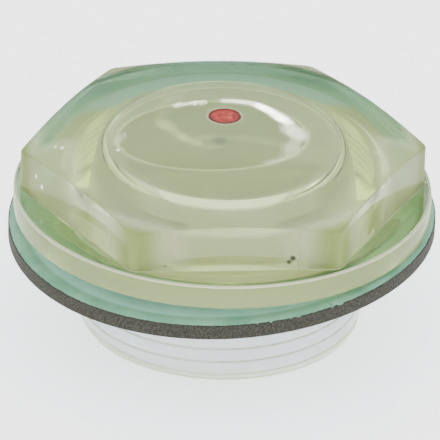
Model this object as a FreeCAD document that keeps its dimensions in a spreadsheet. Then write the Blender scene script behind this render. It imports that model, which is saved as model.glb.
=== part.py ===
"""Oil level sight plug: a clear moulded screw plug with its loose sealing ring.

Millimetres, +Z up. The plug stands on the open end of its skirt. The origin is the centre of that end,
the hexagon has a corner on +X and two of its flats square to Y.
"""
import FreeCAD, Part
import math
import os

import Sketcher
from FreeCAD import Placement, Rotation, Vector

os.makedirs("parts", exist_ok=True)
doc = FreeCAD.newDocument("sight_plug")

# Driving dimensions
SIZES = [
    ("thread_dia", 40.0, "crest diameter of the fine external thread"),
    ("skirt_length", 17.0, "from the open end to the flange"),
    ("thread_length", 11.6, "threaded part of the skirt, from the open end"),
    ("relief_depth", 0.4, "how far the plain neck lies below the crest"),
    ("lead_in_height", 0.9, "bevel at the thread's start"),
    ("lead_in_depth", 0.5, "bevel at the thread's start, across"),
    ("cavity_dia", 33.2, "hollow inside the skirt"),
    ("mouth_bevel", 0.3, "bevel at the cavity's open edge"),
    ("flange_dia", 59.2, "round flange"),
    ("flange_thick", 3.6, "round flange"),
    ("flange_round", 0.4, "rounding of the flange's two edges"),
    ("across_flats", 50.0, "hexagon head"),
    ("head_height", 11.1, "from the flange to the crown's top"),
    ("crown_dia", 39.2, "domed crown, where it runs into the bevel"),
    ("head_bevel_angle", 15.4, "slope of the hexagon's conical bevel, degrees"),
    ("window_thick", 7.0, "window in the middle, under the crown"),
    ("window_dia", 32.0, "flat inner face of the window"),
    ("window_rim_height", 1.7, "steep rim between the flat face and the cavity's wall"),
    ("mark_dia", 4.6, "level mark"),
    ("mark_thick", 0.15, "level mark"),
    ("mark_recess_depth", 0.15, "seat of the level mark in the crown, in the middle"),
    ("mark_play", 0.05, "seat beyond the mark's edge, each side"),
    ("gasket_overhang", 0.7, "gasket beyond the flange's edge, each side"),
    ("gasket_play", 2.3, "gasket's bore beyond the thread's crest, each side"),
    ("gasket_thick", 2.2, "sealing ring"),
    ("seat_bearing", 41.7, "side on which the loose gasket is still seated, degrees from +X"),
    ("droop_angle", 4.5, "slope of the gasket's hanging side, degrees"),
    ("droop_start", 23.4, "from the axis to the start of the bend, on the seated side"),
    ("droop_bend_radius", 440.0, "bend between the seated and the hanging side"),
]

sheet = doc.addObject("Spreadsheet::Sheet", "sizes")
for row, (alias, value, note) in enumerate(SIZES, start=1):
    sheet.set(f"A{row}", alias)
    sheet.set(f"B{row}", str(value))
    sheet.set(f"C{row}", note)
    sheet.setAlias(f"B{row}", alias)
doc.recompute()

# Sizes that follow from the driving ones, as expressions on the sheet
THREAD_R = "sizes.thread_dia / 2"
NECK_R = f"({THREAD_R} - sizes.relief_depth)"
CAVITY_R = "sizes.cavity_dia / 2"
FLANGE_R = "sizes.flange_dia / 2"
CROWN_EDGE_R = "sizes.crown_dia / 2"
CORNER_R = "sizes.across_flats / sqrt(3)"
FLANGE_TOP = "(sizes.skirt_length + sizes.flange_thick)"
HEAD_TOP = f"({FLANGE_TOP} + sizes.head_height)"
BEVEL_SLOPE = "(sizes.head_bevel_angle * 1deg)"
CROWN_DOME_R = f"({CROWN_EDGE_R} / sin({BEVEL_SLOPE}))"
CROWN_EDGE_Z = f"({HEAD_TOP} - {CROWN_DOME_R} * (1 - cos({BEVEL_SLOPE})))"
BEVEL_REACH = f"({CORNER_R} + 2)"
BEVEL_FOOT = f"({CROWN_EDGE_Z} - ({BEVEL_REACH} - {CROWN_EDGE_R}) * tan({BEVEL_SLOPE}))"
WINDOW_R = "sizes.window_dia / 2"
WINDOW_Z = f"({HEAD_TOP} - sizes.window_thick)"
CAVITY_WALL_TOP = f"({WINDOW_Z} - sizes.window_rim_height)"
MARK_SEAT_Z = f"({HEAD_TOP} - sizes.mark_recess_depth)"
GASKET_R = f"({FLANGE_R} + sizes.gasket_overhang)"
GASKET_BORE_R = f"({THREAD_R} + sizes.gasket_play)"
STRIP_REACH = f"({GASKET_R} + 4)"


def value_of(expression):
    """Number that an expression on the sheet gives."""
    result = sheet.evalExpression(expression)
    return float(getattr(result, "Value", result))


def new_body(name):
    body = doc.addObject("PartDesign::Body", name)
    body.Label = name
    return body


def new_sketch(body, name, role):
    """Sketch on one of the body's own origin planes."""
    sketch = body.newObject("Sketcher::SketchObject", name)
    plane = [item for item in body.Origin.OriginFeatures if item.Role == role][0]
    sketch.AttachmentSupport = (plane, [""])
    sketch.MapMode = "FlatFace"
    return sketch


def fix_coordinate(sketch, kind, geo, end, expression):
    """Hold one coordinate of an end or centre at the value of an expression."""
    index = sketch.addConstraint(Sketcher.Constraint(kind, geo, end, value_of(expression)))
    sketch.setExpression(f"Constraints[{index}]", expression)


def fix_point(sketch, geo, end, across, up):
    """Hold an end or centre at a place given by two expressions."""
    fix_coordinate(sketch, "DistanceX", geo, end, across)
    fix_coordinate(sketch, "DistanceY", geo, end, up)


def closed_outline(sketch, corners):
    """Closed outline through corners, each a pair of expressions.

    A line leads from each corner to the next. Where a corner has a third item, an arc does: the item
    is the pair of expressions of its centre, and the arc is the short way round.
    """
    places = [Vector(value_of(corner[0]), value_of(corner[1]), 0) for corner in corners]
    count = len(corners)
    ends = []
    for i, corner in enumerate(corners):
        start, stop = places[i], places[(i + 1) % count]
        if len(corner) == 2:
            geo = sketch.addGeometry(Part.LineSegment(start, stop), False)
            ends.append((geo, 1, 2))
            continue
        centre = Vector(value_of(corner[2][0]), value_of(corner[2][1]), 0)
        circle = Part.Circle(centre, Vector(0, 0, 1), centre.distanceToPoint(start))
        from_angle = math.atan2(start.y - centre.y, start.x - centre.x)
        to_angle = math.atan2(stop.y - centre.y, stop.x - centre.x)
        if (start - centre).cross(stop - centre).z > 0:
            geo = sketch.addGeometry(Part.ArcOfCircle(circle, from_angle, to_angle), False)
            ends.append((geo, 1, 2))
        else:
            geo = sketch.addGeometry(Part.ArcOfCircle(circle, to_angle, from_angle), False)
            ends.append((geo, 2, 1))
    for i, corner in enumerate(corners):
        geo, start, stop = ends[i]
        next_geo, next_start, _ = ends[(i + 1) % count]
        sketch.addConstraint(Sketcher.Constraint("Coincident", geo, stop, next_geo, next_start))
        fix_point(sketch, geo, start, corner[0], corner[1])
        if len(corner) == 3:
            fix_coordinate(sketch, "DistanceX", geo, 3, corner[2][0])


def centred_circle(sketch, radius):
    """Circle about the sketch's origin, its radius an expression."""
    circle = sketch.addGeometry(Part.Circle(Vector(0, 0, 0), Vector(0, 0, 1), value_of(radius)), False)
    sketch.addConstraint(Sketcher.Constraint("Coincident", circle, 3, -1, 1))
    index = sketch.addConstraint(Sketcher.Constraint("Radius", circle, value_of(radius)))
    sketch.setExpression(f"Constraints[{index}]", radius)


def turned(body, kind, name, sketch):
    """Revolution or groove of a sketch about its own upright axis."""
    feature = body.newObject(kind, name)
    feature.Profile = sketch
    feature.ReferenceAxis = (sketch, ["V_Axis"])
    feature.Angle = 360
    return feature


def raised(body, kind, name, sketch, length=None, symmetric=False, through=False):
    """Pad or pocket of a sketch."""
    feature = body.newObject(kind, name)
    feature.Profile = sketch
    feature.SideType = "Symmetric" if symmetric else "One side"
    if through:
        feature.Type = "ThroughAll"
    else:
        feature.Type = "Length"
        feature.setExpression("Length", length)
    return feature


def volume_after(body):
    doc.recompute()
    return body.Shape.Volume


def must_remove(before, after, what):
    if after > before - 0.1:
        raise RuntimeError(f"{what} removed nothing")
    print(f"{what}: {before - after:.1f} mm3 removed")


# Plug body: skirt, flange, hexagon head and window, moulded in one
plug = new_body("plug_body")

blank_outline = new_sketch(plug, "skirt_and_flange_outline", "XZ_Plane")
ROUND = "sizes.flange_round"
closed_outline(blank_outline, [
    ("0", "0"),
    (f"{THREAD_R} - sizes.lead_in_depth", "0"),
    (THREAD_R, "sizes.lead_in_height"),
    (THREAD_R, "sizes.thread_length"),
    (NECK_R, "sizes.thread_length + sizes.relief_depth"),
    (NECK_R, "sizes.skirt_length"),
    (f"{FLANGE_R} - {ROUND}", "sizes.skirt_length", (f"{FLANGE_R} - {ROUND}", f"sizes.skirt_length + {ROUND}")),
    (FLANGE_R, f"sizes.skirt_length + {ROUND}"),
    (FLANGE_R, f"{FLANGE_TOP} - {ROUND}", (f"{FLANGE_R} - {ROUND}", f"{FLANGE_TOP} - {ROUND}")),
    (f"{FLANGE_R} - {ROUND}", FLANGE_TOP),
    ("0", FLANGE_TOP),
])
turned(plug, "PartDesign::Revolution", "skirt_and_flange", blank_outline)

hexagon = new_sketch(plug, "hexagon_outline", "XY_Plane")
hexagon.setExpression(".AttachmentOffset.Base.z", FLANGE_TOP)
closed_outline(hexagon, [
    (f"{CORNER_R} * cos({60 * i}deg)", f"{CORNER_R} * sin({60 * i}deg)") for i in range(6)
])
raised(plug, "PartDesign::Pad", "hexagon_head", hexagon, "sizes.head_height")
volume = volume_after(plug)

# The bevel meets the domed crown without an edge, so the crown's radius follows from the slope
crown_outline = new_sketch(plug, "crown_and_bevel_outline", "XZ_Plane")
closed_outline(crown_outline, [
    ("0", HEAD_TOP, ("0", f"{HEAD_TOP} - {CROWN_DOME_R}")),
    (CROWN_EDGE_R, CROWN_EDGE_Z),
    (BEVEL_REACH, BEVEL_FOOT),
    (BEVEL_REACH, f"{HEAD_TOP} + 1"),
    ("0", f"{HEAD_TOP} + 1"),
])
turned(plug, "PartDesign::Groove", "crown_and_bevel", crown_outline)
crowned = volume_after(plug)
must_remove(volume, crowned, "crown and bevel")

# Cavity with the window over it: a straight wall, a steep rim and the window's flat inner face
cavity_outline = new_sketch(plug, "cavity_and_window_outline", "XZ_Plane")
closed_outline(cavity_outline, [
    ("0", "0"),
    (f"{CAVITY_R} + sizes.mouth_bevel", "0"),
    (CAVITY_R, "sizes.mouth_bevel"),
    (CAVITY_R, CAVITY_WALL_TOP),
    (WINDOW_R, WINDOW_Z),
    ("0", WINDOW_Z),
])
turned(plug, "PartDesign::Groove", "cavity_and_window", cavity_outline)
hollow = volume_after(plug)
must_remove(crowned, hollow, "cavity")

# Flat round seat for the level mark in the middle of the crown
seat_outline = new_sketch(plug, "mark_seat_outline", "XY_Plane")
seat_outline.setExpression(".AttachmentOffset.Base.z", MARK_SEAT_Z)
centred_circle(seat_outline, "sizes.mark_dia / 2 + sizes.mark_play")
mark_seat = raised(plug, "PartDesign::Pocket", "mark_seat", seat_outline, "sizes.mark_recess_depth + 1")
mark_seat.Reversed = True
must_remove(hollow, volume_after(plug), "mark seat")

# Level mark: a thin round disc in its seat
mark = new_body("level_mark")
mark_outline = new_sketch(mark, "mark_outline", "XY_Plane")
mark_outline.setExpression(".AttachmentOffset.Base.z", MARK_SEAT_Z)
centred_circle(mark_outline, "sizes.mark_dia / 2")
raised(mark, "PartDesign::Pad", "mark_disc", mark_outline, "sizes.mark_thick")

# Gasket: a ring seated under the flange on one side and hanging a little on the other.
# Its bent strip is drawn towards the seated side, extruded across and cut to a ring.
gasket = new_body("gasket")
strip = new_sketch(gasket, "bent_strip_outline", "XZ_Plane")
strip.AttachmentOffset = Placement(Vector(0, 0, 0), Rotation(Vector(0, 1, 0), value_of("sizes.seat_bearing")))
strip.setExpression(".AttachmentOffset.Rotation.Angle", "sizes.seat_bearing * 1deg")
SLOPE = "(sizes.droop_angle * 1deg)"
SEAT_Z = "sizes.skirt_length"
LOW_SEAT_Z = f"({SEAT_Z} - sizes.gasket_thick)"
BEND_X = "sizes.droop_start"
BEND_Z = f"({SEAT_Z} - sizes.droop_bend_radius)"


def bend_end(depth):
    """End of the bend in a face that lies depth under the gasket's top."""
    radius = f"(sizes.droop_bend_radius - {depth})"
    return f"({BEND_X} - {radius} * sin({SLOPE}))", f"({BEND_Z} + {radius} * cos({SLOPE}))"


def strip_end(depth):
    """End of the hanging side in the same face, well past the ring."""
    across, up = bend_end(depth)
    return f"({across} - {STRIP_REACH} * cos({SLOPE}))", f"({up} - {STRIP_REACH} * sin({SLOPE}))"


closed_outline(strip, [
    (STRIP_REACH, SEAT_Z),
    (BEND_X, SEAT_Z, (BEND_X, BEND_Z)),
    bend_end("0"),
    strip_end("0"),
    strip_end("sizes.gasket_thick"),
    bend_end("sizes.gasket_thick") + ((BEND_X, BEND_Z),),
    (BEND_X, LOW_SEAT_Z),
    (STRIP_REACH, LOW_SEAT_Z),
])
raised(gasket, "PartDesign::Pad", "bent_strip", strip, f"2 * {STRIP_REACH}", symmetric=True)
strip_volume = volume_after(gasket)

ring = new_sketch(gasket, "ring_outline", "XY_Plane")
WASTE = f"({STRIP_REACH} * 2)"
closed_outline(ring, [
    (f"-{WASTE}", f"-{WASTE}"),
    (WASTE, f"-{WASTE}"),
    (WASTE, WASTE),
    (f"-{WASTE}", WASTE),
])
for radius in (GASKET_R, GASKET_BORE_R):
    centred_circle(ring, radius)
ring_cut = raised(gasket, "PartDesign::Pocket", "ring_cut", ring, through=True)
ring_cut.Reversed = True
must_remove(strip_volume, volume_after(gasket), "gasket ring cut")

# Check and write
doc.recompute()
for item in doc.Objects:
    if {"Invalid", "Error"} & set(item.State):
        raise RuntimeError(f"{item.Name} failed: {item.State}")
for body in (plug, gasket, mark):
    shape = body.Shape
    if shape.isNull() or not shape.isValid() or len(shape.Solids) != 1:
        raise RuntimeError(f"{body.Label} is not one valid solid")
    box = shape.BoundBox
    print(f"{body.Label}: {shape.Volume:.1f} mm3, x {box.XMin:.2f} to {box.XMax:.2f}, "
          f"y {box.YMin:.2f} to {box.YMax:.2f}, z {box.ZMin:.2f} to {box.ZMax:.2f}")
    shape.exportStep(os.path.join("parts", f"{body.Label}.step"))
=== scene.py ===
import math

import bpy
from mathutils import Matrix, Quaternion, Vector


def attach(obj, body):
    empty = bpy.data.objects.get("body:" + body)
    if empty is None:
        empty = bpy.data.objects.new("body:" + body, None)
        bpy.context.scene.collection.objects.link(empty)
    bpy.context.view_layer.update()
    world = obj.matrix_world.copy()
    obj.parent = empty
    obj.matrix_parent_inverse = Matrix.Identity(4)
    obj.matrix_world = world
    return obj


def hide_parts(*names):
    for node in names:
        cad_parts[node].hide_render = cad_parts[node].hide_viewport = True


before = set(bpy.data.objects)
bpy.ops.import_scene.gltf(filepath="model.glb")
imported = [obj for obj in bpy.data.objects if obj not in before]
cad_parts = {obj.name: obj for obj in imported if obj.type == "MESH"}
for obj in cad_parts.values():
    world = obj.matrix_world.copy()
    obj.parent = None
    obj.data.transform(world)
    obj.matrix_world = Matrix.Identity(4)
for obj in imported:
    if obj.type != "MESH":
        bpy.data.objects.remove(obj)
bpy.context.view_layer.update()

# Oil level sight plug: a clear moulded screw plug that stands on its skirt, its loose fibre gasket
# hanging a little on one side, and the red level mark in the middle of its domed crown.
# X runs to the right, Y to the back and Z up.

MM = 0.001

# Plug body in millimetres, heights from the skirt's open end; the thread's phase and the width of
# its groove are shares of the pitch
THREAD_R = 20.0
PITCH = 2.05
THREAD_PHASE = 0.21
THREAD_DEPTH = 0.09
THREAD_LENGTH = 11.6
THREAD_RUN_OUT = 1.2
GROOVE_WIDTH = 0.16
LEAD_IN_HEIGHT = 0.9
LEAD_IN_DEPTH = 0.5
NECK_R = 19.6
SKIRT_LENGTH = 17.0
CAVITY_R = 16.6
MOUTH_BEVEL = 0.3
FLANGE_R = 29.6
FLANGE_THICK = 3.6
FLANGE_ROUND = 0.4
ACROSS_FLATS = 50.0
HEAD_HEIGHT = 11.1
CROWN_EDGE_R = 19.6
BEVEL_ANGLE = math.radians(15.4)
EDGE_ROUND = 0.3
FOOT_ROUND = 0.2
CORNER_BLUNT = 0.2
# A corner is blunted over this angle to each side, in degrees
CORNER_SPAN = 0.4
# Narrow ring beside a rounding, which keeps the flat face next to it flat
SUPPORT = 0.04
WINDOW_THICK = 7.0
WINDOW_R = 16.0
WINDOW_RIM_HEIGHT = 1.7
WINDOW_ROUND = 0.25
FLANGE_TOP = SKIRT_LENGTH + FLANGE_THICK
HEAD_TOP = FLANGE_TOP + HEAD_HEIGHT
WINDOW_Z = HEAD_TOP - WINDOW_THICK
WINDOW_RIM_Z = WINDOW_Z - WINDOW_RIM_HEIGHT
CORNER_R = ACROSS_FLATS / math.sqrt(3)
DOME_R = CROWN_EDGE_R / math.sin(BEVEL_ANGLE)

# Level mark, its seat in the crown, and the ejector's mark on the window's inner face
MARK_R = 2.3
MARK_THICK = 0.15
MARK_RIM_WIDTH = 0.28
MARK_RIM_RISE = 0.05
SEAT_R = 2.35
SEAT_DEPTH = 0.15
SEAT_Z = HEAD_TOP - SEAT_DEPTH
PIN_MARK_R = 0.5
PIN_MARK_DEPTH = 0.25
PIN_MARK_PLACE = (-0.74, -1.51)

# Blisters on and near the surface, which get painted glints, and dark specks, each with its place
# and its radius
BLISTER_GLINTS = [
    (-23.0, -2.3, 28.1, 0.4), (-23.9, -1.5, 27.8, 0.3), (-26.7, -3.8, 24.4, 0.4),
    (-25.9, -5.1, 23.4, 0.5), (20.7, -5.45, 28.5, 0.18), (21.3, -5.2, 28.4, 0.18),
    (-15.4, -6.3, 29.8, 0.45),
]
DARK_SPOTS = [
    (-9.85, -25.0, 21.5, 0.22), (7.9, -25.0, 22.5, 0.6), (7.4, -25.0, 21.9, 0.5),
    (-1.1, -2.9, 31.6, 0.2),
]

# On the window's inner face: half the width and depth of a darker oval, its middle, and half
# the width and depth of the painted highlight arc round it
DARK_OVAL_SIZE = (13.0, 9.0)
DARK_OVAL_PLACE = (-1.6, 0.2)
HIGHLIGHT_ARC_SIZE = (15.25, 13.4)

# Gasket: it touches the flange on the side at the seat bearing, from the droop's start outwards;
# from there it bends down, and then hangs straight
GASKET_R = 30.29
GASKET_BORE_R = 22.3
GASKET_THICK = 2.2
GASKET_EDGE = 0.12
SEAT_BEARING = math.radians(41.7)
DROOP_ANGLE = math.radians(4.5)
DROOP_START = 23.4
DROOP_BEND_R = 440.0

# Chips in the gasket's upper rim: bearing in degrees, length, reach inwards, depth
CHIPS = [
    (-60.8, 1.3, 1.1, 0.35), (-63.4, 0.5, 1.5, 0.3), (-73.2, 0.9, 0.7, 0.3),
    (-75.6, 0.5, 0.5, 0.35), (-81.0, 0.8, 0.35, 0.4), (-84.6, 0.5, 0.3, 0.3),
]

# Slits under the flange and under the mark: two faces in one place render dark under clear plastic
GASKET_SLIT = 0.04
MARK_SLIT = 0.02

# View: the camera's place round the middle of the flange's top, and where that point lies in the
# picture
PICTURE = 440
SENSOR_WIDTH = 36
CAMERA_AZIMUTH = math.radians(-4.92)
CAMERA_ELEVATION = math.radians(28.42)
CAMERA_ROLL = math.radians(1.65)
CAMERA_DISTANCE = 1058.0
PIXELS_PER_MM = 7.065
FLANGE_PIXEL = (222.717, 184.99)

# Light: colour of the sky and of the floor's glow, brightness of the sky at the horizon and
# overhead, then the floor's glow and its size in metres
SKY_COLOUR = (0.97, 0.97, 1)
SKY_LOW = 0.15
SKY_HIGH = 3.0
FLOOR_GLOW = 1.4
FLOOR_SIZE = 0.5

# Lamps: colour, distance in metres, then each one's direction (90 degrees is away from the camera),
# elevation, length, thickness, slope and brightness
LAMP_COLOUR = (1.0, 0.99, 0.88)
LAMP_REACH = 3.0
LAMPS = [
    ("comet_head", 88.6, 20.4, 3.4, 0.6, 9, 60),
    ("comet_middle", 85.5, 22.6, 3.9, 0.9, 54, 110),
    ("comet_tail", 83.0, 26.2, 4.5, 1.2, 59, 80),
    ("patch", 80.2, 31.2, 6.5, 2.6, 67, 16),
    ("patch_side", 78.6, 38.0, 8.0, 2.0, 86, 7),
    ("patch_foot", 79.9, 44.3, 5.4, 0.7, 116, 12),
    ("left_line", 105.4, 32.6, 5.0, 0.4, -60, 13),
    ("dot_1", 95.2, 21.9, 0.5, 0.4, 0, 120),
    ("dot_2", 94.2, 21.5, 0.4, 0.4, 0, 120),
    ("dot_3", 93.3, 21.2, 0.5, 0.4, 0, 120),
    ("dot_4", 92.3, 21.0, 0.4, 0.3, 0, 120),
]

SPIN_STEPS = 360
# How near a point counts as lying on a face, in millimetres
NEAR = 0.01


# Making shapes

def pick(piece):
    """Makes piece the only selected object, and the active one."""
    bpy.ops.object.select_all(action="DESELECT")
    piece.select_set(True)
    bpy.context.view_layer.objects.active = piece


def arc(centre_r, centre_z, radius, start, stop, steps=4):
    """Points of an arc in an outline, angles in degrees from the outward radius."""
    angles = [math.radians(start + (stop - start) * i / steps) for i in range(steps + 1)]
    return [(centre_r + radius * math.cos(a), centre_z + radius * math.sin(a)) for a in angles]


def spun(name, outline, steps=SPIN_STEPS):
    """Solid of revolution from an outline of (radius, height) points, open or closed."""
    mesh = bpy.data.meshes.new(name)
    edges = [(i, i + 1) for i in range(len(outline) - 1)]
    if outline[0][0] > 0:
        edges.append((len(outline) - 1, 0))
    mesh.from_pydata([(r * MM, 0, z * MM) for r, z in outline], edges, [])
    piece = bpy.data.objects.new(name, mesh)
    bpy.context.collection.objects.link(piece)
    pick(piece)
    bpy.ops.object.mode_set(mode="EDIT")
    bpy.ops.mesh.select_all(action="SELECT")
    bpy.ops.mesh.spin(steps=steps, angle=math.tau, center=(0, 0, 0), axis=(0, 0, 1))
    bpy.ops.mesh.select_all(action="SELECT")
    bpy.ops.mesh.remove_doubles(threshold=0.001 * MM)
    bpy.ops.mesh.normals_make_consistent(inside=False)
    bpy.ops.object.mode_set(mode="OBJECT")
    return piece


def combine(piece, other, operation):
    """Boolean of two closed solids, applied to the first; the second is used up."""
    modifier = piece.modifiers.new(operation, "BOOLEAN")
    modifier.operation = operation
    modifier.solver = "EXACT"
    modifier.object = other
    pick(piece)
    bpy.ops.object.modifier_apply(modifier=modifier.name)
    bpy.data.objects.remove(other)


def smooth(piece, degrees):
    """Shades a piece smooth, but for the edges that turn by more than an angle."""
    pick(piece)
    bpy.ops.object.shade_smooth_by_angle(angle=math.radians(degrees))


# The plug's shape

def thread_groove(phase):
    """Depth of the rounded thread at a phase of its turn: 0 on the crest, 1 in the groove."""
    across = min(phase % 1.0, 1.0 - phase % 1.0)
    return math.exp(-(across / GROOVE_WIDTH) ** 2)


def crown_height(radius):
    """Height of the head's top over a radius: the dome, then the cone of the bevel."""
    if radius <= CROWN_EDGE_R:
        return HEAD_TOP - DOME_R + math.sqrt(DOME_R ** 2 - radius ** 2)
    edge = HEAD_TOP - DOME_R * (1 - math.cos(BEVEL_ANGLE))
    return edge - (radius - CROWN_EDGE_R) * math.tan(BEVEL_ANGLE)


def inside_outline():
    """Cavity from the middle of the window's inner face to the skirt's mouth."""
    face_rings, wall_rings = 12, 10
    rim_slope = math.degrees(math.atan2(WINDOW_RIM_HEIGHT, CAVITY_R - WINDOW_R))
    foot = WINDOW_RIM_Z
    outline = [(WINDOW_R * i / face_rings, WINDOW_Z) for i in range(face_rings)]
    outline += arc(WINDOW_R - WINDOW_ROUND, WINDOW_Z - WINDOW_ROUND, WINDOW_ROUND,
                   90, 90 - rim_slope)
    outline += [(CAVITY_R, foot + (MOUTH_BEVEL - foot) * i / wall_rings)
                for i in range(wall_rings + 1)]
    return outline + [(CAVITY_R + MOUTH_BEVEL, 0)]


def outside_outline():
    """Skirt, neck and flange, then the head as if it were round, to the middle of the crown."""
    thread_rings, wall_rings, top_rings = 100, 6, 34
    rise = THREAD_LENGTH - LEAD_IN_HEIGHT
    outline = [(THREAD_R - LEAD_IN_DEPTH, 0)]
    outline += [(THREAD_R, LEAD_IN_HEIGHT + rise * i / thread_rings)
                for i in range(thread_rings + 1)]
    outline += [(NECK_R, THREAD_LENGTH + THREAD_R - NECK_R), (NECK_R, SKIRT_LENGTH)]
    rim = FLANGE_R - FLANGE_ROUND
    outline += [(rim - SUPPORT, SKIRT_LENGTH)]
    outline += arc(rim, SKIRT_LENGTH + FLANGE_ROUND, FLANGE_ROUND, -90, 0)
    outline += arc(rim, FLANGE_TOP - FLANGE_ROUND, FLANGE_ROUND, 0, 90)
    outline += [(rim - SUPPORT, FLANGE_TOP), (CORNER_R + FOOT_ROUND + SUPPORT, FLANGE_TOP)]
    outline += arc(CORNER_R + FOOT_ROUND, FLANGE_TOP + FOOT_ROUND, FOOT_ROUND, 270, 180)
    edge_z = crown_height(CORNER_R) - EDGE_ROUND
    outline += [(CORNER_R, FLANGE_TOP + FOOT_ROUND + (edge_z - FLANGE_TOP) * i / wall_rings)
                for i in range(1, wall_rings - 1)]
    inner = CORNER_R - EDGE_ROUND
    outline += arc(inner, edge_z, EDGE_ROUND, 0, 90 - math.degrees(BEVEL_ANGLE), 5)
    for i in range(1, top_rings):
        radius = inner + (SEAT_R - inner) * i / top_rings
        outline.append((radius, crown_height(radius)))
    outline += [(SEAT_R, crown_height(SEAT_R)), (SEAT_R, SEAT_Z)]
    return outline + [(SEAT_R / 2, SEAT_Z), (0, SEAT_Z)]


def flat_distance(bearing):
    """Distance from the axis to the hexagon's side in a direction; a corner lies on +X."""
    turn = math.degrees(bearing) % 60
    reach = ACROSS_FLATS / 2 / math.cos(math.radians(turn - 30))
    return reach - CORNER_BLUNT if min(turn, 60 - turn) < CORNER_SPAN else reach


def cut_thread(piece):
    """Sinks the turns of the thread into the round skirt."""
    for vertex in piece.data.vertices:
        radius = math.hypot(vertex.co.x, vertex.co.y) / MM
        height = vertex.co.z / MM
        if abs(radius - THREAD_R) > NEAR or height > THREAD_LENGTH + NEAR:
            continue
        turn = math.atan2(vertex.co.y, vertex.co.x) / math.tau
        fade = min(1, (height - LEAD_IN_HEIGHT) / THREAD_RUN_OUT,
                   (THREAD_LENGTH - height) / THREAD_RUN_OUT)
        groove = thread_groove(height / PITCH - turn + THREAD_PHASE)
        sunk = THREAD_DEPTH * groove * max(0, fade)
        vertex.co.x *= 1 - sunk / radius
        vertex.co.y *= 1 - sunk / radius


def form_hexagon(piece):
    """Draws the round head in to six flats; its top keeps to the dome and the cone."""
    wall_top = crown_height(CORNER_R)
    head_r = CORNER_R + FOOT_ROUND + SUPPORT
    for vertex in piece.data.vertices:
        radius = math.hypot(vertex.co.x, vertex.co.y) / MM
        height = vertex.co.z / MM
        if height < FLANGE_TOP - NEAR or radius <= CROWN_EDGE_R or radius > head_r + NEAR:
            continue
        side = flat_distance(math.atan2(vertex.co.y, vertex.co.x))
        share = (min(radius, CORNER_R) - CROWN_EDGE_R) / (CORNER_R - CROWN_EDGE_R)
        drawn = CROWN_EDGE_R + (side - CROWN_EDGE_R) * share + max(0, radius - CORNER_R)
        lift = crown_height(drawn) - crown_height(min(radius, CORNER_R))
        up_wall = (height - FLANGE_TOP - FOOT_ROUND) / (wall_top - FLANGE_TOP - 1)
        lift *= min(1, max(0, up_wall))
        vertex.co = Vector((vertex.co.x * drawn / radius, vertex.co.y * drawn / radius,
                            (height + lift) * MM))


def pin_mark():
    """Small dimple that the mould's pin leaves in the window's inner face."""
    below = WINDOW_Z - 0.5
    piece = spun("pin_mark", [(0, below), (PIN_MARK_R * 1.2, below), (PIN_MARK_R, WINDOW_Z),
                              (PIN_MARK_R * 0.6, WINDOW_Z + PIN_MARK_DEPTH * 0.8),
                              (0, WINDOW_Z + PIN_MARK_DEPTH)], 24)
    right, back = PIN_MARK_PLACE
    piece.data.transform(Matrix.Translation((right * MM, back * MM, 0)))
    return piece


def plug_body():
    """Clear plug in one piece: skirt with its thread, neck, flange, hexagon and crown."""
    piece = spun("clear_plug", inside_outline() + outside_outline())
    cut_thread(piece)
    form_hexagon(piece)
    combine(piece, pin_mark(), "DIFFERENCE")
    smooth(piece, 24)
    return piece


# The gasket's and the mark's shapes

def droop(across, along):
    """How far the gasket's faces hang below the flange at a point, in millimetres."""
    run = DROOP_START - (across * math.cos(SEAT_BEARING) + along * math.sin(SEAT_BEARING))
    bend = DROOP_BEND_R * math.sin(DROOP_ANGLE)
    if run <= 0:
        return 0.0
    if run < bend:
        return DROOP_BEND_R - math.sqrt(DROOP_BEND_R ** 2 - run ** 2)
    return DROOP_BEND_R * (1 - math.cos(DROOP_ANGLE)) + (run - bend) * math.tan(DROOP_ANGLE)


def chip_cutter(bearing, length, reach, depth):
    """Ragged block that breaks a chip out of the gasket's upper rim."""
    bpy.ops.object.select_all(action="DESELECT")
    bpy.ops.mesh.primitive_ico_sphere_add(subdivisions=1, radius=0.5)
    cutter = bpy.context.object
    turn = Matrix.Rotation(math.radians(bearing), 4, "Z")
    place = turn @ Matrix.Translation((GASKET_R * MM, 0, SKIRT_LENGTH * MM))
    size = Matrix.Diagonal((2 * reach * MM, length * MM, 2 * depth * MM, 1))
    cutter.data.transform(place @ size)
    return cutter


def fibre_gasket():
    """Flat ring with soft edges and a chipped upper rim, bent down on one side."""
    soft, rings = GASKET_EDGE, 6
    low, high = SKIRT_LENGTH - GASKET_THICK, SKIRT_LENGTH - GASKET_SLIT
    width = GASKET_R - GASKET_BORE_R
    outline = [(GASKET_BORE_R, low + soft), (GASKET_BORE_R + soft, low)]
    outline += [(GASKET_BORE_R + width * i / rings, low) for i in range(1, rings)]
    outline += [(GASKET_R - soft, low), (GASKET_R, low + soft)]
    outline += [(GASKET_R, low + GASKET_THICK * i / rings) for i in range(1, rings)]
    outline += [(GASKET_R, high - soft), (GASKET_R - soft, high)]
    outline += [(GASKET_R - width * i / rings, high) for i in range(1, rings)]
    outline += [(GASKET_BORE_R + soft, high), (GASKET_BORE_R, high - soft)]
    piece = spun("fibre_gasket", outline, 240)
    for chip in CHIPS:
        combine(piece, chip_cutter(*chip), "DIFFERENCE")
    for vertex in piece.data.vertices:
        vertex.co.z -= droop(vertex.co.x / MM, vertex.co.y / MM) * MM
    smooth(piece, 30)
    return piece


def mark_disc():
    """Thin red disc with a narrow raised rim."""
    low, top = SEAT_Z + MARK_SLIT, SEAT_Z + MARK_THICK
    face = top - MARK_RIM_RISE
    piece = spun("red_mark", [(0, low), (MARK_R, low), (MARK_R, top - 0.06), (MARK_R - 0.05, top),
                              (MARK_R - MARK_RIM_WIDTH, top),
                              (MARK_R - MARK_RIM_WIDTH - 0.08, face), (0, face)], 64)
    smooth(piece, 30)
    return piece


# Finishes

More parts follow.
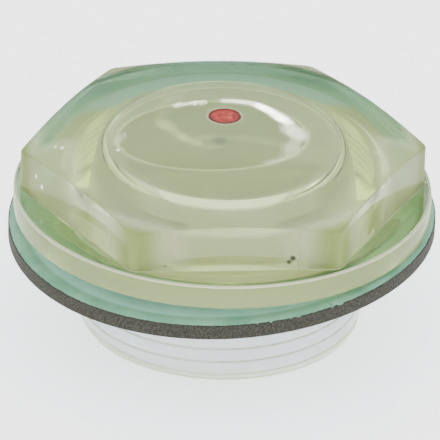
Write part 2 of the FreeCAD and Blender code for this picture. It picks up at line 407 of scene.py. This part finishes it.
class Wire:
    """An output of a node; arithmetic on it adds Math nodes."""

    def __init__(self, finish, socket):
        self.finish = finish
        self.socket = socket

    def out(self, name):
        """Another output of the same node."""
        return Wire(self.finish, socket_of(self.socket.node.outputs, name))

    def __add__(self, other):
        return self.finish.math("ADD", self, other)

    def __radd__(self, other):
        return self.finish.math("ADD", other, self)

    def __sub__(self, other):
        return self.finish.math("SUBTRACT", self, other)

    def __rsub__(self, other):
        return self.finish.math("SUBTRACT", other, self)

    def __mul__(self, other):
        return self.finish.math("MULTIPLY", self, other)

    def __rmul__(self, other):
        return self.finish.math("MULTIPLY", other, self)

    def __truediv__(self, other):
        return self.finish.math("DIVIDE", self, other)

    def __pow__(self, other):
        return self.finish.math("POWER", self, other)

    def larger(self, other):
        """The larger of two values at each point."""
        return self.finish.math("MAXIMUM", self, other)


def socket_of(sockets, key):
    """Socket by its number, name or identifier."""
    if isinstance(key, int):
        return sockets[key]
    return next(socket for socket in sockets if key in (socket.name, socket.identifier))


class Finish:
    """A material under construction."""

    def __init__(self, name):
        self.material = bpy.data.materials.new(name)
        self.material.use_nodes = True
        self.tree = self.material.node_tree
        self.tree.nodes.clear()

    def add(self, kind, settings=None, sockets=None, out=0):
        """Adds a node: its settings first, then the values or links of its sockets."""
        node = self.tree.nodes.new(kind)
        for name, value in (settings or {}).items():
            setattr(node, name, value)
        for key, value in (sockets or {}).items():
            socket = socket_of(node.inputs, key)
            if isinstance(value, Wire):
                self.tree.links.new(value.socket, socket)
            elif socket.type == "RGBA":
                socket.default_value = (*value, 1)
            else:
                socket.default_value = value
        return Wire(self, socket_of(node.outputs, out)) if node.outputs else None

    def measure(self):
        """Reads where a point lies, in millimetres, and how far it is from the axis."""
        point = self.add("ShaderNodeTexCoord", out="Object")
        self.point = self.add("ShaderNodeVectorMath", {"operation": "SCALE"}, {
            "Vector": point, "Scale": 1 / MM})
        self.right = self.add("ShaderNodeSeparateXYZ", None, {0: self.point})
        self.back, self.height = self.right.out("Y"), self.right.out("Z")
        self.radius = (self.right * self.right + self.back * self.back) ** 0.5

    def math(self, operation, *values):
        """Result of one of the Math node's operations on wires and numbers."""
        return self.add("ShaderNodeMath", {"operation": operation}, dict(enumerate(values)))

    def noise(self, scale, detail=3.0, roughness=0.5):
        """Cloudy pattern with values from 0 to 1; a larger scale makes it finer."""
        return self.add("ShaderNodeTexNoise", None, {
            "Vector": self.point, "Scale": scale, "Detail": detail, "Roughness": roughness})

    def mix(self, share, first, second):
        """Colour between two."""
        return self.add("ShaderNodeMix", {"data_type": "RGBA"}, {
            "Factor_Float": share, "A_Color": first, "B_Color": second}, out="Result_Color")

    def rise(self, value, low, high, to_low=0.0, to_high=1.0):
        """Smooth step from one amount to another where a value goes from low to high."""
        return self.add("ShaderNodeMapRange", {"interpolation_type": "SMOOTHSTEP"}, {
            "Value": value, "From Min": low, "From Max": high,
            "To Min": to_low, "To Max": to_high})

    def fade(self, value, low, high):
        """Smooth step from 1 to 0 where a value goes from low to high."""
        return self.rise(value, low, high, 1.0, 0.0)

    def distance(self, place):
        """How far a point lies from a place."""
        return self.add("ShaderNodeVectorMath", {"operation": "DISTANCE"}, {
            0: self.point, 1: place}, out="Value")

    def oval(self, size, place=(0.0, 0.0)):
        """Mask value that grows outwards from the middle of an oval and is 1 on the oval."""
        right = (self.right - place[0]) / size[0]
        back = (self.back - place[1]) / size[1]
        return right ** 2.0 + back ** 2.0

    def spots(self, places):
        """Mask of small round spots, each given by its place and its radius."""
        mask = None
        for *centre, radius in places:
            spot = self.fade(self.distance(centre), radius * 0.4, radius)
            mask = mask.larger(spot) if mask else spot
        return mask

    def bump(self, height, distance, strength=1.0):
        """Normal of a surface with a relief, whose depth is given in millimetres."""
        return self.add("ShaderNodeBump", None, {
            "Height": height, "Distance": distance * MM, "Strength": strength})

    def surface(self, sockets, volume=None, film=None, share=None):
        """Closes the material; a film's sockets are a surface laid over a share of the first."""
        shader = self.add("ShaderNodeBsdfPrincipled", None, sockets)
        if film:
            over = self.add("ShaderNodeBsdfPrincipled", None, film)
            shader = self.add("ShaderNodeMixShader", None, {0: share, 1: shader, 2: over})
        ends = {"Surface": shader}
        if volume:
            ends["Volume"] = volume
        self.add("ShaderNodeOutputMaterial", None, ends)
        return self.material


def colour(red, green, blue):
    """Scene colour of a display colour given from 0 to 255."""
    def linear(value):
        value /= 255
        return value / 12.92 if value <= 0.04045 else ((value + 0.055) / 1.055) ** 2.4
    return (linear(red), linear(green), linear(blue))


def window_zones(finish, haze):
    """Masks on the window's inner face, which gets painted shade: a darker oval, painted highlights
    along its edge and in an arc, and painted shade round the pin's mark.
    """
    rise, fade, height = finish.rise, finish.fade, finish.height
    face = fade(height, WINDOW_Z + 0.2, WINDOW_Z + 0.4)
    face = face * rise(height, WINDOW_Z - 0.4, WINDOW_Z - 0.2)
    face = face * fade(finish.radius, WINDOW_R - 0.3, WINDOW_R)
    dark_oval = finish.oval(DARK_OVAL_SIZE, DARK_OVAL_PLACE) + haze * 0.1
    # Painted highlight: a pale line along the oval's edge
    oval_highlight = face * rise(dark_oval, 0.96, 1.03) * fade(dark_oval, 1.06, 1.14)
    # Painted highlight: a pale arc over the back of the face
    highlight_arc = finish.oval(HIGHLIGHT_ARC_SIZE)
    highlight_arc = face * rise(highlight_arc, 0.94, 0.99) * fade(highlight_arc, 1.01, 1.06)
    highlight_arc = highlight_arc * rise(finish.back, -2.0, 4.0)
    # Painted shade round the pin's dimple
    pin = fade(finish.distance((*PIN_MARK_PLACE, WINDOW_Z)), PIN_MARK_R, 1.5)
    return {
        "window": face, "dark_oval": face * fade(dark_oval, 0.97, 1.13), "oval_highlight": oval_highlight,
        "highlight_arc": highlight_arc, "highlight_lines": oval_highlight.larger(highlight_arc), "pin": face * pin,
    }


def hidden_zones(finish):
    """Masks on the cavity's wall and on the flange's underside, seen through the head; besides the
    wall's film they carry what shows through: painted light on the upper front wall, the gasket's
    teal painted at the back, beige by the neck and at the front, and a cream strip with green ends
    at the front.
    """
    rise, fade = finish.rise, finish.fade
    back, height, radius = finish.back, finish.height, finish.radius
    wall = fade(height, WINDOW_RIM_Z - 0.2, WINDOW_RIM_Z)
    wall = wall * fade(radius, THREAD_R + 0.3, THREAD_R + 0.8)
    # Painted light: the cavity's wall high up at the front, painted pale
    front_wall = fade(radius, CAVITY_R + 0.4, CAVITY_R + 0.7) * fade(back, -13.0, -10.0)
    front_wall = front_wall * rise(height, SKIRT_LENGTH + 1.0, SKIRT_LENGTH + 2.0)
    front_wall = front_wall * fade(height, WINDOW_RIM_Z + 0.2, WINDOW_RIM_Z + 0.4)
    below = fade(height, SKIRT_LENGTH + 0.1, SKIRT_LENGTH + 0.2)
    below = below * rise(height, SKIRT_LENGTH - 0.3, SKIRT_LENGTH - 0.2)
    near_neck = fade(radius, GASKET_BORE_R + 0.3, GASKET_BORE_R + 0.9)
    front = fade(back, -21.0, -17.0) * fade(radius, 25.5, 27.0)
    underside = below * rise(radius, NECK_R - 0.1, NECK_R + 0.1) * near_neck.larger(front)
    strip = below * rise(radius, GASKET_BORE_R + 0.5, GASKET_BORE_R + 0.9)
    strip = strip * fade(radius, 25.6, 26.4) * fade(back, -10.0, -7.0)
    # The far underside is painted the gasket's teal, which shows through the head's back
    return {
        "wall": wall, "front_wall": front_wall, "underside": underside,
        "far_underside": underside * rise(back, 13.0, 16.0), "front_strip": strip,
    }


def outer_zones(finish, aside):
    """Masks on the head's corners, the flange, the mark's seat, the skirt's foot and small spots:
    painted shade on the corners and the flange's side, a painted highlight on the flange's rim,
    painted glints on the blisters.
    """
    rise, fade = finish.rise, finish.fade
    back, height, radius = finish.back, finish.height, finish.radius
    on_head = rise(height, FLANGE_TOP, FLANGE_TOP + 0.2)
    # Painted shade: the head's corners, and its sides towards the front, are darkened
    corner = rise(radius, 25.2, 28.2) * on_head
    cheek = rise(aside, 20.0, 23.5) * fade(back, -3.0, 1.0)
    # Painted shade: the flange's side is darkened
    side = rise(radius, FLANGE_R - 0.1, FLANGE_R - 0.05)
    # Painted highlight: a pale line along the flange's upper rounding
    rim = rise(radius, FLANGE_R - FLANGE_ROUND, FLANGE_R - 0.3)
    seat_ring = rise(radius, SEAT_R - 0.02, SEAT_R) * fade(radius, SEAT_R + 0.15, SEAT_R + 0.4)
    return {
        "corner": corner, "corner_shade": corner.larger(cheek * on_head * 0.8),
        "side": side * rise(height, SKIRT_LENGTH, SKIRT_LENGTH + 0.1),
        "rim": rim * rise(height, FLANGE_TOP - 0.35, FLANGE_TOP - 0.2),
        "seat_ring": seat_ring * rise(height, SEAT_Z - 0.1, SEAT_Z),
        "foot": fade(height, 0.05, 0.1),
        "blister_glints": finish.spots(BLISTER_GLINTS), "dark_spots": finish.spots(DARK_SPOTS),
    }


def thread_zones(finish):
    """Masks on the skirt's outside for painted shade: the thread's grooves, and the mouth but for a
    line of light.
    """
    rise, fade, height = finish.rise, finish.fade, finish.height
    turn = finish.math("ARCTAN2", finish.back, finish.right) / math.tau
    phase = finish.math("FRACT", height / PITCH - turn + THREAD_PHASE + 0.5)
    outer = rise(finish.radius, THREAD_R - 0.8, THREAD_R - 0.7)
    groove = outer * fade(height, THREAD_LENGTH - 1, THREAD_LENGTH)
    groove = groove * fade(finish.math("ABSOLUTE", phase - 0.5), 0.05, 0.12)
    glint_line = rise(height, 0.5, 0.6) * fade(height, 0.9, 1.0)
    return {"groove": groove, "mouth": outer * fade(height, 1.2, 1.5) * (1 - glint_line)}


def clear_plastic():
    """Moulded plastic, yellow-green in the thick head, with a film on its hidden walls, and light,
    shade and the gasket's teal painted where they show through.
    """
    finish = Finish("clear_moulded_plastic")
    finish.measure()
    rise, mix, back, height = finish.rise, finish.mix, finish.back, finish.height
    tint = finish.add("ShaderNodeVolumeAbsorption", None, {
        "Color": (0.90, 0.945, 0.60), "Density": 70.0})
    cloud = finish.noise(0.12)
    haze = finish.noise(0.9, 4.0, 0.6)
    grain = finish.noise(3.4, 3.0, 0.6)
    aside = finish.math("ABSOLUTE", finish.right)
    zone = {**window_zones(finish, haze), **hidden_zones(finish),
            **outer_zones(finish, aside), **thread_zones(finish)}

    # The plastic's colour, with light and shade painted in: the head's back is painted cooler, teal
    # for the gasket that shows through it, and its corners and the window's inner face get painted
    # shade
    head = mix(rise(cloud, 0.35, 0.65), (0.72, 0.80, 0.46), (0.80, 0.86, 0.58))
    # Painted teal at the head's back: the gasket seen through it
    head = mix(rise(back, 4.0, 16.0), head, (0.76, 0.90, 0.82))
    # Painted shade: the head's corners darker
    head = mix(zone["corner"], head, (0.60, 0.64, 0.27))
    base = mix(rise(height, 13.0, 18.5), (0.95, 0.94, 0.99), head)
    # Painted shade: the window's inner face darker, as the cavity under it is shaded
    base = mix(zone["window"], base, (0.50, 0.55, 0.32))

    # How much the film covers: haze, painted shade, painted highlights, painted teal, a darker oval
    # and dark specks
    share = zone["wall"] * rise(cloud, 0.3, 0.7, 0.4, 0.55)
    for name, amount in [
            ("underside", 0.7), ("far_underside", 0.3), ("window", 0.42),
            ("dark_oval", rise(cloud, 0.35, 0.65, 0.28, 0.4)), ("corner_shade", 0.8),
            ("side", 0.55), ("rim", 0.3), ("front_wall", 0.55), ("front_strip", 0.8),
            ("oval_highlight", 0.16), ("highlight_arc", 0.25), ("pin", 0.22), ("foot", 0.6),
            ("seat_ring", 0.22), ("blister_glints", 0.7), ("dark_spots", 0.8)]:
        share = share + zone[name] * amount

    # Its colours, each painted over those before it
    strip = mix(rise(aside, 11.0, 15.0), (0.80, 0.80, 0.70), (0.44, 0.58, 0.40))
    # The window's film, darker towards the back
    window = mix(rise(back, -9.5, -7.5), (0.66, 0.70, 0.55), (0.52, 0.54, 0.43))
    film = mix(rise(height, 12.0, 20.0), (0.88, 0.89, 1.0), (0.82, 0.86, 0.62))
    for name, paint in [
            # Painted shade in the thread's grooves and on the band at the mouth
            ("groove", (0.30, 0.36, 0.22)), ("mouth", (0.64, 0.75, 0.54)),
            ("underside", (0.72, 0.77, 0.50)), ("front_strip", strip),
            # Painted light on the front wall, and painted teal for the gasket seen at the back
            ("front_wall", (0.96, 0.96, 1.0)), ("far_underside", (0.46, 0.76, 1.0)),
            ("foot", (0.60, 0.64, 0.46)), ("window", window), ("dark_oval", (0.38, 0.43, 0.19)),
            # Painted highlights on the window's lines, painted shade round the pin's dimple
            ("highlight_lines", (0.88, 0.90, 0.76)), ("pin", (0.24, 0.32, 0.22)),
            # Painted shade on the head's corners and on the flange's side
            ("corner_shade", (0.22, 0.28, 0.08)), ("side", (0.28, 0.34, 0.14)),
            # Painted highlight on the flange's rim
            ("rim", (0.92, 0.92, 0.72)), ("seat_ring", (0.72, 0.56, 0.42)),
            # Painted glints on the blisters, and dark specks
            ("blister_glints", (1.0, 1.0, 0.95)), ("dark_spots", (0.05, 0.06, 0.03))]:
        film = mix(zone[name], film, paint)

    # Moulding grain on the crown, and the blisters
    relief = grain * rise(height, 26.5, 27.0) - zone["blister_glints"] * 2.0
    return finish.surface({
        "Base Color": base, "IOR": 1.53, "Transmission Weight": 0.98,
        "Roughness": rise(haze, 0.35, 0.7, 0.02, 0.04) + zone["wall"] * 0.07,
        "Normal": finish.bump(relief, 0.008, 0.5),
    }, tint, {"Base Color": film, "Roughness": 0.6, "Specular IOR Level": 0.1}, share)


def gasket_fibre():
    """Teal coating on the faces, painted paler under the flange as painted light, where the plug
    shades it, grey fibre on the edges.
    """
    finish = Finish("gasket_fibre")
    finish.measure()
    ragged = finish.noise(1.6, 4.0)
    rim = finish.rise(finish.radius + ragged * 0.3, GASKET_R - 0.1, GASKET_R + 0.05)
    bore = finish.fade(finish.radius - ragged * 0.3, GASKET_BORE_R - 0.05, GASKET_BORE_R + 0.1)
    cut = rim + bore
    mottle = finish.rise(finish.noise(0.22, 4.0), 0.3, 0.7)
    open_teal = finish.mix(mottle, colour(100, 158, 134), colour(126, 180, 156))
    # Painted light: a paler teal under the flange, where the plug shades the gasket
    lit_teal = finish.mix(mottle, colour(146, 206, 204), colour(162, 216, 214))
    teal = finish.mix(finish.rise(finish.radius, 27.6, 28.4), lit_teal, open_teal)
    specks = finish.noise(4.2, 3.0, 0.65)
    fibre = finish.mix(finish.rise(specks, 0.38, 0.64), colour(26, 26, 20), colour(64, 63, 50))
    fibre = finish.mix(bore, fibre, colour(112, 124, 98))
    return finish.surface({
        "Base Color": finish.mix(cut, teal, fibre), "Roughness": finish.rise(cut, 0, 1, 0.5, 0.85),
        "Normal": finish.bump(specks, 0.05, 0.5),
    })


def mark_paint():
    """Worn and mottled red paint, darker at its rim."""
    finish = Finish("mark_paint")
    finish.measure()
    worn = finish.noise(1.5, 4.0, 0.65)
    rim = finish.rise(finish.radius + worn * 0.5, MARK_R * 0.80, MARK_R * 1.05)
    face = finish.mix(finish.rise(worn, 0.36, 0.5), colour(104, 10, 6), colour(146, 28, 16))
    face = finish.mix(finish.rise(worn, 0.54, 0.66), face, colour(176, 76, 54))
    return finish.surface({
        "Base Color": finish.mix(rim, face, colour(84, 10, 5)), "Roughness": 0.45,
        "Specular IOR Level": 0.15, "Normal": finish.bump(worn, 0.03, 0.5),
    })


# Dressing the frame

def dress(piece, node, material):
    """Gives a piece its material and puts it in the place of a node of the frame."""
    piece.data.materials.clear()
    piece.data.materials.append(material)
    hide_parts(node)
    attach(piece, "root")


dress(plug_body(), "plug_body", clear_plastic())
dress(fibre_gasket(), "gasket", gasket_fibre())
dress(mark_disc(), "level_mark", mark_paint())


# Floor, light and camera

def pale_floor():
    """Pale square that glows softly under the plug."""
    bpy.ops.object.select_all(action="DESELECT")
    bpy.ops.mesh.primitive_plane_add(size=FLOOR_SIZE, location=(0, 0, 0))
    floor = bpy.context.object
    floor.name = "pale_floor"
    finish = Finish("pale_floor")
    floor.data.materials.append(finish.surface({
        "Base Color": (0.93, 0.93, 0.94), "Roughness": 0.7,
        "Emission Color": SKY_COLOUR, "Emission Strength": FLOOR_GLOW}))


def soft_light(name, azimuth, elevation, length, thickness, slope, glow):
    """Oblong lamp in a direction from the plug as the camera sees it, all in degrees."""
    turn = math.radians(azimuth) + CAMERA_AZIMUTH
    rise = math.radians(elevation)
    level = math.cos(rise)
    way = Vector((level * math.cos(turn), level * math.sin(turn), math.sin(rise)))
    light = bpy.data.lights.new(name, "AREA")
    light.shape = "ELLIPSE"
    light.size = 2 * LAMP_REACH * math.tan(math.radians(length / 2))
    light.size_y = 2 * LAMP_REACH * math.tan(math.radians(thickness / 2))
    light.color = LAMP_COLOUR
    light.energy = glow * math.pi * light.size * light.size_y * math.pi / 4
    lamp = bpy.data.objects.new(name, light)
    bpy.context.collection.objects.link(lamp)
    lamp.location = Vector((0, 0, HEAD_TOP * MM)) + way * LAMP_REACH
    facing = way.to_track_quat("Z", "Y") @ Quaternion((0, 0, 1), math.radians(-slope))
    lamp.rotation_euler = facing.to_euler()


def studio():
    """Sky that is brightest overhead, and small lamps behind the plug that shine off its crown."""
    world = bpy.data.worlds.new("studio")
    bpy.context.scene.world = world
    world.use_nodes = True
    tree = world.node_tree
    background = tree.nodes["Background"]
    background.inputs["Color"].default_value = (*SKY_COLOUR, 1)
    place = tree.nodes.new("ShaderNodeTexCoord")
    parts = tree.nodes.new("ShaderNodeSeparateXYZ")
    ramp = tree.nodes.new("ShaderNodeMapRange")
    ramp.interpolation_type = "SMOOTHSTEP"
    limits = {"From Min": -0.05, "From Max": 0.9, "To Min": SKY_LOW, "To Max": SKY_HIGH}
    for name, value in limits.items():
        ramp.inputs[name].default_value = value
    tree.links.new(place.outputs["Generated"], parts.inputs[0])
    tree.links.new(parts.outputs["Z"], ramp.inputs["Value"])
    tree.links.new(ramp.outputs[0], background.inputs["Strength"])
    for name, *lamp in LAMPS:
        soft_light(name, *lamp)


def camera():
    """Camera at the photograph's angle, aimed so that the flange's middle falls on its pixel."""
    cos_e, sin_e = math.cos(CAMERA_ELEVATION), math.sin(CAMERA_ELEVATION)
    turn = Matrix.Rotation(CAMERA_AZIMUTH, 3, "Z")
    back = turn @ Vector((0, -cos_e, sin_e))
    level_up = turn @ Vector((0, sin_e, cos_e))
    level_right = turn @ Vector((1, 0, 0))
    right = math.cos(CAMERA_ROLL) * level_right + math.sin(CAMERA_ROLL) * level_up
    up = math.cos(CAMERA_ROLL) * level_up - math.sin(CAMERA_ROLL) * level_right
    flange_middle = Vector((0, 0, FLANGE_TOP))
    place = flange_middle + back * CAMERA_DISTANCE
    across = (PICTURE / 2 - FLANGE_PIXEL[0]) / PIXELS_PER_MM
    down = (PICTURE / 2 - FLANGE_PIXEL[1]) / PIXELS_PER_MM
    aim = flange_middle + right * across - up * down
    axis = (place - aim).normalized()
    side = up.cross(axis).normalized()
    top = axis.cross(side)
    data = bpy.data.cameras.new("camera")
    data.sensor_width = SENSOR_WIDTH
    data.lens = SENSOR_WIDTH * CAMERA_DISTANCE / (PICTURE / PIXELS_PER_MM)
    data.clip_start, data.clip_end = 0.01, 20
    holder = bpy.data.objects.new("camera", data)
    bpy.context.collection.objects.link(holder)
    holder.matrix_world = Matrix((
        (side.x, top.x, axis.x, place.x * MM), (side.y, top.y, axis.y, place.y * MM),
        (side.z, top.z, axis.z, place.z * MM), (0, 0, 0, 1)))
    bpy.context.scene.camera = holder


pale_floor()
studio()
camera()
